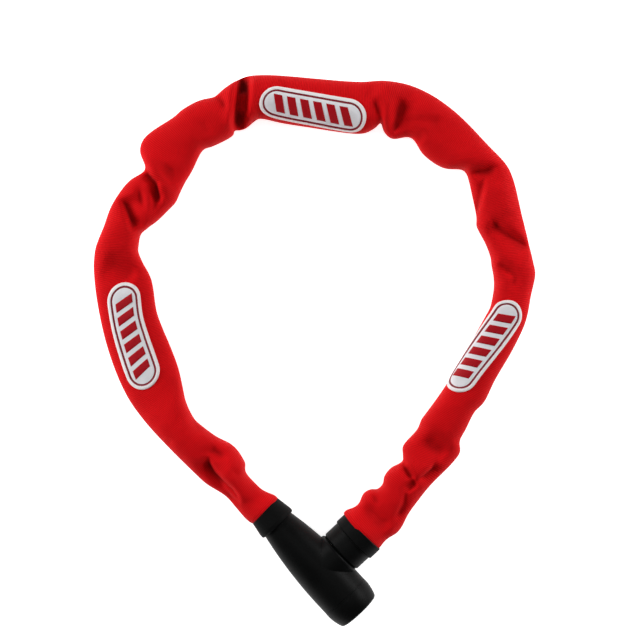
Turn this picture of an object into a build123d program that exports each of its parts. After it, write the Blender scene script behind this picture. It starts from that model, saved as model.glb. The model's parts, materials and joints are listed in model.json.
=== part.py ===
from build123d import *
import math
import os

# A chain lock for a bicycle, lying closed in a loop on the ground: a barrel lock with a socket in its side,
# a steel chain in a fabric sleeve, and the locking stud at the chain's free end.
# Millimetres and degrees, +Z up, the ground at Z = 0, the origin under the centre of the loop's box.

# Chain. Neighbouring links stand about square to each other. The end links lie flat, and the chain twists
# between them, so that along the ground its links lean half-way.
LINK_COUNT = 31             # odd, so that both end links lie flat around an upright pin
TWIST_STEP = 22.5           # degrees from one link to the next
LEAN = 45.0
WIRE = 5.0                  # diameter of the link's round wire
LINK_INNER_WIDTH = 8.0
LINK_PLAY = 1.4             # gap between two links where they hook into each other
GROUND_HEIGHT = 9.8         # height of the chain's axis where the sleeve lies on the ground
# Links in each length that moves as one. A length under a patch is longer, because the patch stiffens it.
LINKS_IN_LENGTH = (2, 3, 3, 2, 2, 2, 3, 2, 2, 2, 4, 2, 2)
PATCHED_LENGTHS = {"left": 3, "top": 7, "right": 11}

# Sleeve
SLEEVE_WIDTH = 31.0
SLEEVE_HEIGHT = 22.0
SLEEVE_CORNER = 10.0
SLEEVE_CLOTH = 1.2
SLEEVE_RISE = 1.2           # the chain lies low in the sleeve, this far under its centre
SLEEVE_GAP = 1.8            # gap between two lengths of sleeve, where the chain bends
PATCH_LENGTH = 68.0
PATCH_WIDTH = 25.0
PATCH_CLOTH = 0.8
SEWN = 0.05                 # gap between a patch and the sleeve under it
PATCH_LEAN = 22.0           # the patches sit this far over towards the inside of the loop, in degrees

# Barrel lock, along its own X from the chain's end to the key's end, with its socket facing its own +Y
LOCK_ORIGIN = (-24.2, -112.2, 16.7)
LOCK_TURN = -47.0
BARREL_LENGTH = 77.8
BARREL_RADIUS = 16.7
NECK_RADIUS = 11.2
LOCK_CUFF_LENGTH = 12.2
SEAM = 64.0                 # where the cover ends and the end cap begins
CORE_RADIUS = 12.8
CORE_NECK_RADIUS = 9.6
CORE_NECK_END = 12.2
CORE_END = 75.8
FIT = 0.2                   # gap between parts that only sit beside each other
PRESSED = 0.02              # gap around a pin that is pressed into its hole

# Pins, socket and stud
PIN_RADIUS = 2.5
PIN_HALF_LENGTH = 9.2
ANCHOR_X = 8.0
SLOT_HALF_HEIGHT = 2.85     # the slots that take the end links
SLOT_HALF_WIDTH = 9.7
SOCKET_X = 41.5
BOSS_RADIUS = 15.6
BOSS_FACE = 17.0
STUD_RADIUS = 5.5
SOCKET_RADIUS = 5.8
SOCKET_FLOOR = -9.5
STUD_PIN_Y = 34.0
GROOVE_RADIUS = 3.6
COLLAR_FACE = 17.35
COLLAR_RADIUS = 15.1
CUFF_RADIUS = 16.1
BOLT_CUFF_END = 37.5

# Key cylinder and latch
CYLINDER_RADIUS = 9.0
CYLINDER_START = 54.0
PLUG_RADIUS = 6.0
PLUG_START = 55.3
PLUG_FACE = 77.3
TAIL_RADIUS = 4.0
TAIL_END = 51.9
CRANK_ARM = 1.485           # a quarter turn of it, from 45 degrees below to 45 above, lifts the latch 2.1 mm
CRANK_RADIUS = 1.5
CRANK_END = 49.8
LATCH_HALF_THICKNESS = 1.7
WAFER_COUNT = 5
WAFER_PITCH = 3.2
FIRST_WAFER = 60.5
WAFER_THICKNESS = 0.9

# The chain's route on the ground from the lock's neck round to the stud, as points (X, Y) that it passes near
ROUTE = [
    (-55, -81), (-84, -56), (-107, -19), (-121, 22), (-128, 58), (-122, 84), (-107, 104), (-88, 133),
    (-50, 157), (-8, 162), (36, 159), (76, 146), (107, 120), (121, 83), (128, 44), (112, -4), (89, -45),
    (63, -80),
]
RAMP = 52.0                 # past its level end links, the chain comes down to the ground over this length

LOCK_PLACE = Location(LOCK_ORIGIN, (0, 0, LOCK_TURN))


def in_lock(x, y, z=0.0):
    """The place in the loop's frame of a point given in the lock's own frame."""
    return (LOCK_PLACE * Pos(x, y, z)).position


def rod(radius, start, end):
    """A cylinder from one point to another."""
    start, end = Vector(*start), Vector(*end)
    base = Plane(start, z_dir=end - start)
    return base * Cylinder(radius, (end - start).length, align=(Align.CENTER, Align.CENTER, Align.MIN))


def block(low, high):
    """A box from its lowest corner to its highest."""
    middle = [(a + b) / 2 for a, b in zip(low, high)]
    return Pos(*middle) * Box(*[b - a for a, b in zip(low, high)])


def turned(points, axis):
    """A solid of revolution from the corners of its half section."""
    return revolve(make_face(Polyline(*points, close=True)), axis)


# ---------------------------------------------------------------- the chain's route

def route_curve():
    """The smooth line that the chain follows, seen from above, straight out of the lock and into the stud."""
    start, end = in_lock(ANCHOR_X, 0), in_lock(SOCKET_X, STUD_PIN_Y)
    points = [(start.X, start.Y), *ROUTE, (end.X, end.Y)]
    out = in_lock(-1, 0) - in_lock(0, 0)
    back = in_lock(0, -1) - in_lock(0, 0)
    return Spline(*points, tangents=((out.X, out.Y), (back.X, back.Y)))


def chord_lengths(link_length):
    """Distance between the two joints of each link. An odd link reaches past them, round its neighbours."""
    reach = WIRE + LINK_PLAY
    return [link_length - 2 * reach if number % 2 else link_length for number in range(1, LINK_COUNT + 1)]


def walk(samples, lengths):
    """Steps along the sampled line in straight chords. Returns the joints and whether the line ran out."""
    joints, index = [samples[0]], 0
    for length in lengths:
        here = joints[-1]
        while index < len(samples) - 1 and (samples[index] - here).length < length:
            index += 1
        before, after = samples[index - 1], samples[index]
        near, far = (before - here).length, (after - here).length
        joints.append(before + (after - before) * ((length - near) / (far - near)))
    return joints, index == len(samples) - 1


def find_joints():
    """The joints of the chain, and the length of one link, so that the links just fill the route."""
    curve = route_curve()
    samples = [curve @ (i / 4000) for i in range(4001)]
    shortest, longest = 25.0, 40.0
    for _ in range(40):
        link_length = (shortest + longest) / 2
        joints, ran_out = walk(samples, chord_lengths(link_length))
        if ran_out:
            longest = link_length
        else:
            shortest = link_length
    joints, _ = walk(samples, chord_lengths(shortest))
    joints[-1] = samples[-1]
    drop = LOCK_ORIGIN[2] - GROUND_HEIGHT
    travelled = [0.0]
    for a, b in zip(joints, joints[1:]):
        travelled.append(travelled[-1] + (b - a).length)
    end_link = travelled[1]
    placed = []
    for joint, distance in zip(joints, travelled):
        past_end = max(0.0, min(distance, travelled[-1] - distance) - end_link)
        share = max(0.0, 1 - past_end / RAMP)
        placed.append(Vector(joint.X, joint.Y, GROUND_HEIGHT + drop * share * share * (3 - 2 * share)))
    return placed, shortest


def length_ends():
    """The first and last joint of each length of chain that moves as one."""
    ends, first = [], 0
    for count in LINKS_IN_LENGTH:
        ends.append((first, first + count))
        first += count
    return ends


# ---------------------------------------------------------------- chain, sleeve and patches

def lean(number):
    """How far a link is turned about the chain, in degrees from lying flat."""
    twist = min(LEAN, TWIST_STEP * min(number - 1, LINK_COUNT - number))
    return math.radians(twist if number % 2 else 90 + twist)


def link(joints, number):
    """One welded link: round wire bent to a stadium. An odd link reaches past its joints."""
    start, end = joints[number - 1], joints[number]
    reach = WIRE + LINK_PLAY if number % 2 else 0.0
    along = (end - start).normalized()
    side = Vector(0, 0, 1).cross(along).normalized()
    wire_width = LINK_INNER_WIDTH + WIRE
    wire_length = (end - start).length + 2 * reach
    across = along.cross(side) * math.cos(lean(number)) + side * math.sin(lean(number))
    plane = Plane((start + end) / 2, x_dir=along, z_dir=across)
    path = (plane * SlotCenterToCenter(wire_length - wire_width, wire_width)).wire()
    beside = plane.from_local_coords(Vector(0, wire_width / 2, 0))
    return sweep(Plane(beside, z_dir=along) * Circle(WIRE / 2), path=path)


def tube(joints, index, growth, cloth):
    """A tube of cloth round one length of the chain, mitred where the chain turns and cut at its ends."""
    first, last = length_ends()[index]
    if index == 0:
        first += 1                     # the first link lies wholly inside the lock's neck
    near_end, far_end = sleeve_ends(joints, index)
    whole = None
    for k in range(first, last):
        start, end = joints[k], joints[k + 1]
        along = (end - start).normalized()
        side = Vector(0, 0, 1).cross(along).normalized()
        up = along.cross(side)
        plane = Plane(start - along * SLEEVE_WIDTH + up * SLEEVE_RISE, x_dir=side, z_dir=along)
        length = (end - start).length + 2 * SLEEVE_WIDTH
        piece = extrude(plane * section(growth), length) - extrude(plane * section(growth - cloth), length)
        near = near_end if k == first else mitre(joints, k)
        far = far_end if k == last - 1 else mitre(joints, k + 1)
        piece = split(piece, bisect_by=near, keep=Keep.TOP)
        piece = split(piece, bisect_by=far, keep=Keep.BOTTOM)
        whole = piece if whole is None else whole + piece
    return whole


def mitre(joints, k, shift=0.0):
    """The plane that halves the chain's turn at joint k, moved along the chain."""
    before = (joints[k] - joints[k - 1]).normalized()
    after = (joints[k + 1] - joints[k]).normalized()
    normal = (before + after).normalized()
    return Plane(joints[k] + normal * shift, z_dir=normal)


def sleeve_ends(joints, index):
    """The planes that a length of sleeve is cut at. The first starts and the last ends beside a cuff."""
    first, last = length_ends()[index]
    if index == 0:
        near = Plane(in_lock(-LOCK_CUFF_LENGTH - SLEEVE_GAP, 0), z_dir=in_lock(-1, 0) - in_lock(0, 0))
    else:
        near = mitre(joints, first, SLEEVE_GAP / 2)
    if index == len(LINKS_IN_LENGTH) - 1:
        far = Plane(in_lock(SOCKET_X, BOLT_CUFF_END + SLEEVE_GAP), z_dir=in_lock(0, -1) - in_lock(0, 0))
    else:
        far = mitre(joints, last, -SLEEVE_GAP / 2)
    return near, far


def section(growth):
    """The sleeve's cross-section, grown by that much all round."""
    return RectangleRounded(SLEEVE_WIDTH + 2 * growth, SLEEVE_HEIGHT + 2 * growth, SLEEVE_CORNER + growth)


def sleeve(joints, index):
    return tube(joints, index, 0, SLEEVE_CLOTH)


def patch(joints, index):
    """A sewn-on patch with round ends, bent over the upper inside of the sleeve."""
    first, last = length_ends()[index]
    skin = tube(joints, index, PATCH_CLOTH + SEWN, PATCH_CLOTH)
    along = (joints[last] - joints[first]).normalized()
    inward = along.cross(Vector(0, 0, 1)).normalized()      # the chain runs clockwise round the loop
    middle = (joints[last] + joints[first]) / 2 + Vector(0, 0, SLEEVE_RISE)
    lean = math.radians(PATCH_LEAN)
    out = Vector(0, 0, 1) * math.cos(lean) + inward * math.sin(lean)
    plane = Plane(middle, x_dir=along, z_dir=out)
    return skin & extrude(plane * SlotOverall(PATCH_LENGTH, PATCH_WIDTH), SLEEVE_WIDTH)


# ---------------------------------------------------------------- the barrel lock

def lock_cover():
    """The plastic jacket of the barrel, with the raised boss round its socket."""
    swell = ThreePointArc((0, NECK_RADIUS), (28, 15.3), (60, BARREL_RADIUS))
    rest = Polyline((60, BARREL_RADIUS), (SEAM, BARREL_RADIUS), (SEAM, 0), (0, 0), (0, NECK_RADIUS))
    barrel = revolve(make_face(swell + rest), Axis.X)
    boss = rod(BOSS_RADIUS, (SOCKET_X, 0, 0), (SOCKET_X, BOSS_FACE, 0))
    boss = fillet(boss.edges().sort_by(Axis.Y)[-1], 1.6)
    hollow = rod(CORE_RADIUS + FIT, (CORE_NECK_END - FIT, 0, 0), (SEAM + 1, 0, 0))
    neck = rod(CORE_NECK_RADIUS + FIT, (-1, 0, 0), (CORE_NECK_END, 0, 0))
    mouth = rod(SOCKET_RADIUS + 0.8, (SOCKET_X, 0, 0), (SOCKET_X, BOSS_FACE + 1, 0))
    return barrel + boss - hollow - neck - mouth


def end_cap():
    """The plastic cap at the key's end. A bead inside it snaps into a groove round the core."""
    back = SEAM + 0.15
    inner = CORE_RADIUS + FIT
    shoulder = ThreePointArc((back, BARREL_RADIUS), (71.5, 16.3), (76.2, 15.0))
    corner = ThreePointArc((76.2, 15.0), (77.35, 14.25), (BARREL_LENGTH, 13.2))
    face = Polyline(
        (BARREL_LENGTH, 13.2), (BARREL_LENGTH, 9.6), (77.3, 9.0), (77.3, 6.4), (CORE_END + FIT, 6.4),
        (CORE_END + FIT, inner), (70.9, inner), (70.5, inner - 0.5), (69.5, inner - 0.5), (69.1, inner),
        (back, inner), (back, BARREL_RADIUS),
    )
    return revolve(make_face(shoulder + corner + face), Axis.X)


def lock_core():
    """The hardened steel body: clevis for the first link, socket bore, latch guide and cylinder bore."""
    core = rod(CORE_RADIUS, (CORE_NECK_END, 0, 0), (CORE_END, 0, 0))
    core += rod(CORE_NECK_RADIUS, (0.6, 0, 0), (CORE_NECK_END, 0, 0))
    slot_end = ANCHOR_X + 2 * WIRE + LINK_PLAY - PIN_RADIUS + 0.7
    core -= block((0, -SLOT_HALF_WIDTH, -SLOT_HALF_HEIGHT), (slot_end, SLOT_HALF_WIDTH, SLOT_HALF_HEIGHT))
    core -= rod(PIN_RADIUS + PRESSED, (ANCHOR_X, 0, -PIN_HALF_LENGTH), (ANCHOR_X, 0, PIN_HALF_LENGTH + 2))
    core -= rod(SOCKET_RADIUS, (SOCKET_X, SOCKET_FLOOR, 0), (SOCKET_X, CORE_RADIUS + 1, 0))
    guide = LATCH_HALF_THICKNESS + FIT
    core -= block((32.3, -guide, -8.7), (52.0, guide, 8.2))
    core -= rod(TAIL_RADIUS + 2 * FIT, (49.4, 0, 0), (53, 0, 0))
    core -= rod(5.7, (52.6, 0, 0), (CYLINDER_START, 0, 0))
    core -= rod(CYLINDER_RADIUS + 0.05, (CYLINDER_START - 0.1, 0, 0), (CORE_END + 1, 0, 0))
    core -= rod(1.25 + PRESSED, (72, -CORE_RADIUS - 1, 0), (72, -7, 0))
    groove = rod(CORE_RADIUS + 1, (68.9, 0, 0), (71.1, 0, 0)) - rod(CORE_RADIUS - 0.5, (68, 0, 0), (72, 0, 0))
    return core - groove


def cylinder_housing():
    """The brass shell of the key cylinder, with the two grooves that its wafers lock into."""
    shell = rod(CYLINDER_RADIUS, (CYLINDER_START, 0, 0), (75.6, 0, 0))
    shell -= rod(PLUG_RADIUS + 0.05, (PLUG_START - FIT, 0, 0), (76, 0, 0))
    shell -= rod(TAIL_RADIUS + FIT, (CYLINDER_START - 1, 0, 0), (PLUG_START, 0, 0))
    shell -= block((58.5, -2.4, -7.8), (76, 2.4, 7.8))
    return shell - rod(1.25 + PRESSED, (72, -CYLINDER_RADIUS - 1, 0), (72, -7, 0))


def wafer_places():
    return [FIRST_WAFER + i * WAFER_PITCH for i in range(WAFER_COUNT)]


def cylinder_plug():
    """The brass plug that the key turns. A crank pin on its tail lifts the latch."""
    plug = rod(PLUG_RADIUS, (PLUG_START, 0, 0), (PLUG_FACE, 0, 0))
    plug += rod(TAIL_RADIUS, (TAIL_END, 0, 0), (PLUG_START, 0, 0))
    rim = rod(TAIL_RADIUS + 1, (52.85, 0, 0), (53.75, 0, 0)) - rod(3.3, (52, 0, 0), (54, 0, 0))
    plug -= rim
    y, z = crank_place()
    plug += rod(CRANK_RADIUS, (CRANK_END, y, z), (TAIL_END, y, z))
    plug -= block((58, -1.1, -4.6), (PLUG_FACE + 1, 1.1, 4.2))
    for x in wafer_places():
        half = WAFER_THICKNESS / 2 + 0.1
        plug -= block((x - half, -2.2, -PLUG_RADIUS - 1), (x + half, 2.2, PLUG_RADIUS + 1))
        plug -= block((x - half, 0, -1.3), (x + half, 4.3, 1.7))
        plug -= rod(0.9, (x, 3.2, -4.3), (x, 3.2, -1.0))
    return plug


def crank_place():
    """Where the crank pin stands at rest, in the lock's Y and Z: 45 degrees below level, the latch open."""
    lean = math.radians(45)
    return CRANK_ARM * math.cos(lean), -CRANK_ARM * math.sin(lean)


def plug_wafers():
    """Five brass wafers with a window for the key and a lug for the spring, drawn level with the plug."""
    wafers = []
    for x in wafer_places():
        half = WAFER_THICKNESS / 2
        wafer = block((x - half, -2.1, -6), (x + half, 2.1, 6))
        wafer += block((x - half, 2.1, -0.9), (x + half, 4.2, 0.3))
        wafer &= rod(PLUG_RADIUS - 0.05, (x - 1, 0, 0), (x + 1, 0, 0))
        wafers.append(wafer - block((x - 1, -1.4, -3.2), (x + 1, 1.4, 2.8)))
    return Compound(wafers)


def wafer_springs():
    """One small coil spring under each wafer's lug."""
    springs = []
    for x in wafer_places():
        coil = Helix(pitch=0.75, height=2.6, radius=0.6)
        start = Plane(coil @ 0, z_dir=coil % 0)
        springs.append(Pos(x, 3.2, -4.05) * sweep(start * Circle(0.13), path=coil))
    return Compound(springs)


def plug_clip():
    """The spring clip that holds the plug in its housing, in the groove round its tail."""
    ring = rod(5.3, (52.95, 0, 0), (53.65, 0, 0)) - rod(3.4, (52, 0, 0), (54, 0, 0))
    return ring - block((52, 0, -1.4), (54, 6, 1.4))


def cylinder_pin():
    return rod(1.25, (72, -CORE_RADIUS + FIT, 0), (72, -7.1, 0))


def latch_yoke():
    """The steel yoke that the crank lifts into the stud's groove, drawn down in its open place."""
    thick = LATCH_HALF_THICKNESS
    inner = SOCKET_RADIUS + 0.1
    yoke = block((32.6, -thick, -8.6), (51.6, thick, 4.0))
    yoke -= rod(inner, (SOCKET_X, -thick - 1, 0), (SOCKET_X, thick + 1, 0))
    yoke -= block((SOCKET_X - inner, -thick - 1, 0), (SOCKET_X + inner, thick + 1, 5))
    _, z = crank_place()
    gap = CRANK_RADIUS + 0.15
    yoke -= block((CRANK_END - 0.3, -thick - 1, z - gap), (52, thick + 1, z + gap))
    return yoke


def anchor_pin():
    return rod(PIN_RADIUS, (ANCHOR_X, 0, -PIN_HALF_LENGTH), (ANCHOR_X, 0, PIN_HALF_LENGTH))


def lock_end_cuff():
    """The rubber cuff that holds the sleeve's end over the lock's neck."""
    return turned(
        [(-LOCK_CUFF_LENGTH, 10.3), (-LOCK_CUFF_LENGTH, 11.4), (-9.5, 11.8), (-2.0, 13.1), (0.2, 13.1),
         (0.8, 12.6), (0.8, 11.6), (-0.3, 11.6), (-0.3, 10.4)],
        Axis.X,
    )


# ---------------------------------------------------------------- the stud at the chain's free end

def about_socket(points):
    """A solid of revolution about the socket's axis, from (Y, radius) corners."""
    axis = Axis((SOCKET_X, 0, 0), (0, 1, 0))
    return turned([(SOCKET_X + radius, y) for y, radius in points], axis)


def locking_stud():
    """The hardened stud: a grooved pin that enters the socket, a flange, and a clevis for the last link."""
    clevis_end = BOLT_CUFF_END + 1.5
    stud = about_socket([
        (-8.0, 0), (-8.0, 3.9), (-6.4, STUD_RADIUS), (-2.1, STUD_RADIUS), (-2.1, GROOVE_RADIUS),
        (2.1, GROOVE_RADIUS), (2.1, STUD_RADIUS), (17.6, STUD_RADIUS), (17.6, 12.0), (20.0, 12.0),
        (20.0, CORE_NECK_RADIUS), (clevis_end, CORE_NECK_RADIUS), (clevis_end, 0),
    ])
    slot_floor = STUD_PIN_Y - 2 * WIRE - LINK_PLAY + PIN_RADIUS - 0.7
    stud -= block(
        (SOCKET_X - SLOT_HALF_WIDTH, slot_floor, -SLOT_HALF_HEIGHT),
        (SOCKET_X + SLOT_HALF_WIDTH, clevis_end + 1, SLOT_HALF_HEIGHT),
    )
    foot = (SOCKET_X, STUD_PIN_Y, -PIN_HALF_LENGTH)
    return stud - rod(PIN_RADIUS + PRESSED, foot, (SOCKET_X, STUD_PIN_Y, PIN_HALF_LENGTH + 2))


def stud_pin():
    return rod(PIN_RADIUS, (SOCKET_X, STUD_PIN_Y, -PIN_HALF_LENGTH), (SOCKET_X, STUD_PIN_Y, PIN_HALF_LENGTH))


def stud_collar():
    """The plastic grip round the stud's flange, which closes on the lock's boss."""
    return about_socket([
        (COLLAR_FACE, 12.2), (COLLAR_FACE, COLLAR_RADIUS - 1.0), (COLLAR_FACE + 1.0, COLLAR_RADIUS),
        (28.5, COLLAR_RADIUS), (28.5, 14.2), (31.0, 14.2), (31.0, 9.8), (20.2, 9.8), (20.2, 12.2),
    ])


def bolt_end_cuff():
    """The rubber cuff that holds the sleeve's other end on the collar."""
    return about_socket([
        (28.7, 14.4), (28.7, CUFF_RADIUS - 0.5), (29.2, CUFF_RADIUS), (BOLT_CUFF_END - 0.5, CUFF_RADIUS),
        (BOLT_CUFF_END, CUFF_RADIUS - 0.5), (BOLT_CUFF_END, 14.0), (31.2, 13.6), (31.2, 14.4),
    ])


# ---------------------------------------------------------------- assembly

IN_LOCK_FRAME = [
    lock_cover, end_cap, lock_core, cylinder_housing, cylinder_plug, plug_wafers, wafer_springs, plug_clip,
    cylinder_pin, latch_yoke, anchor_pin, lock_end_cuff, locking_stud, stud_pin, stud_collar, bolt_end_cuff,
]


def build():
    """Every piece by its name, and the chain's joints, with the loop's box centred over the origin."""
    joints, link_length = find_joints()
    pieces = {make.__name__: LOCK_PLACE * make() for make in IN_LOCK_FRAME}
    for index, (first, last) in enumerate(length_ends()):
        links = [link(joints, number) for number in range(first + 1, last + 1)]
        pieces[f"chain_links_{index + 1:02d}"] = Compound(links)
        pieces[f"sleeve_{index + 1:02d}"] = sleeve(joints, index)
    for name, number in PATCHED_LENGTHS.items():
        pieces[f"patch_{name}"] = patch(joints, number - 1)
    box = Compound([solid for piece in pieces.values() for solid in piece.solids()]).bounding_box()
    shift = Vector(-(box.min.X + box.max.X) / 2, -(box.min.Y + box.max.Y) / 2, 0)
    pieces = {name: Pos(shift) * piece for name, piece in pieces.items()}
    return pieces, [joint + shift for joint in joints], shift, link_length


if __name__ == "__main__":
    os.makedirs("parts", exist_ok=True)
    pieces, joints, shift, link_length = build()
    print("link length between wire centres", round(link_length, 2), "shift", shift)
    for name, piece in pieces.items():
        export_step(piece, f"parts/{name}.step")
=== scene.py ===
"""Looks of the chain lock: the folded ribbed sleeve, its sewn labels, the black lock and the steel inside."""

import json
import math

import bmesh
import bpy
import numpy as np
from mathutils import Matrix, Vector, noise


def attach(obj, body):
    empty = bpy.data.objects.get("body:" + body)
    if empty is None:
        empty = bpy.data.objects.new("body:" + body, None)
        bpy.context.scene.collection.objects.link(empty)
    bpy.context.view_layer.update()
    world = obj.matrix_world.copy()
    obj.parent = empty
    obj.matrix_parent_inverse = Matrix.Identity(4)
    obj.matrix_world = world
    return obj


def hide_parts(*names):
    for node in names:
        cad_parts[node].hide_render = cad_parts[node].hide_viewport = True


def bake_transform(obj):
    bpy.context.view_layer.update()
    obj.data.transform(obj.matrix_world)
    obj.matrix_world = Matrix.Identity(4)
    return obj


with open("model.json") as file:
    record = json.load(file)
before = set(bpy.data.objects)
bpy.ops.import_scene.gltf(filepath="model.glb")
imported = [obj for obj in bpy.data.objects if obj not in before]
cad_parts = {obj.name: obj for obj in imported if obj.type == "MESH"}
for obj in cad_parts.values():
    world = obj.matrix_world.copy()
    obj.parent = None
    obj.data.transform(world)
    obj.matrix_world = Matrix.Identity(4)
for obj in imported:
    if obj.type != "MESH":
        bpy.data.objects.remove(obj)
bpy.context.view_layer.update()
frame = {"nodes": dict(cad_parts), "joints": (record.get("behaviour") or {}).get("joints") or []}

MM = 0.001
joints = {joint["name"]: joint for joint in frame["joints"]}
HINGES = ["chain_open"] + [f"chain_hinge_{number:02d}" for number in range(1, 13)] + ["stud_hinge"]


# ---------------------------------------------------------------- the sleeve's outline on the ground, in mm
# Each stretch runs from one crosswise line to the next, first along the outside of the loop, then the inside.
EDGES = [
    ("lock cuff", [(-40.8, -111.6), (-43.7, -109.5), (-50.1, -102.5)], [(-25.8, -94.5), (-37.4, -88)]),
    ("lower left", [(-57.5, -94.3), (-69.9, -86.5)], [(-47.1, -81), (-46, -73.5), (-48.3, -67)]),
    ("tongue bulge",
     [(-74.4, -82.6)],
     [(-54.1, -60.7), (-63.4, -56), (-74.4, -47.9), (-77.8, -44.9), (-83.7, -33.2)]),
    ("left curve", [(-111, -44.9), (-122.9, -27.8)], [(-85.5, -25.4), (-88.7, -11.4), (-93.7, 2.3)]),
    ("left patch", [(-134.8, 2.3)], [(-98.5, 13.6), (-102.8, 25.2)]),
    ("left patch, upper end", [(-142, 36.1), (-143.5, 55.2)], [(-106.5, 47)]),
    ("upper left", [(-143.3, 57.8), (-142, 67.1)], [(-112.9, 59.7)]),
    ("pocket", [(-137.2, 79.2), (-136.6, 80.7), (-131.1, 95.5)], [(-117.7, 76.3), (-105, 82.5)]),
    ("pleat", [(-119.9, 110.8), (-110.3, 116.1)], [(-93.9, 92.9), (-90.8, 95.9)]),
    ("pleat notch", [(-109.2, 118.3)], [(-86.8, 104.6)]),
    ("shoulder",
     [(-113.6, 129.5), (-111.8, 137.1), (-106.5, 142.3)],
     [(-83.5, 111.1), (-82.6, 112.4), (-79.6, 117.6)]),
    ("upper left run", [(-90, 152.7), (-87.4, 155.5), (-74.8, 162.6)], [(-72.2, 131.2), (-67.3, 132.7)]),
    ("before the deep fold", [(-63.6, 165.2), (-62.1, 167.4)], [(-52.7, 140.6), (-52.3, 143.2)]),
    ("deep fold", [(-47.1, 177.5), (-42.6, 178.7)], [(-48.4, 143.6), (-44.9, 144.7), (-36.1, 151.8)]),
    ("top patch, left end", [(-27.8, 179)], [(-34.1, 151.4), (-24, 148.8), (-5.5, 145.8)]),
    ("top patch, right end", [(28.9, 174.9)], [(28.9, 141.3), (34.6, 142.3), (40.3, 146)]),
    ("top notch", [(46.1, 175.4)], [(43.2, 150.1), (45.2, 142.7)]),
    ("upper right lobe", [(65.2, 171.7)], [(50.4, 138.1), (62.7, 138.9)]),
    ("upper right run", [(90.9, 155.9)], [(71, 127.7), (84.2, 118.9)]),
    ("right corner", [(112.5, 133.5)], [(97.5, 117.8), (100.4, 115.3)]),
    ("right corner, inner nip", [(124.9, 120.2), (129, 111.1)], [(100.9, 109.5), (105.4, 87)]),
    ("right flap", [(134, 90.3)], [(105.4, 83.8), (105, 82.2), (111.7, 68.8), (115, 59.1)]),
    ("diagonal fold", [(141.4, 59.7), (143.3, 50)], [(115, 56.5)]),
    ("right patch, upper end", [(142, 42.8), (140.4, 36)], [(118.6, 40.9), (119.3, 36)]),
    ("right patch", [(137.1, 19.4), (128.8, 1.2), (117.2, -18.7)], [(114.7, 28.5)]),
    ("lower right", [(109.7, -33.7), (103.9, -39.5), (97.9, -51.4)], [(85.7, -22), (70.8, -42.8)]),
    ("lobe neck", [(94.2, -58.4), (94.7, -65.5)], [(69.2, -44.9), (67.5, -50.2)]),
    ("lobe", [(90.9, -71.4)], [(57.5, -61.8), (57.2, -64.9)]),
    ("lobe nip", [(75.3, -87)], [(60.2, -74), (49.4, -77.3)]),
    ("small lobe", [(68.3, -95.6), (60.8, -105.9)], [(45.2, -81.6), (44.5, -86.5), (40.3, -90.2)]),
    ("before the stud cuff", [(56.5, -114.5), (53.2, -118.2)], [(37, -89.7), (31.6, -92.4)]),
    ("stud cuff lip", [(46.7, -122)], [(28.4, -99.4), (21.4, -103.2)]),
    ("stud cuff", [(41.7, -128)], [(20.4, -103.7)]),
]

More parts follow.
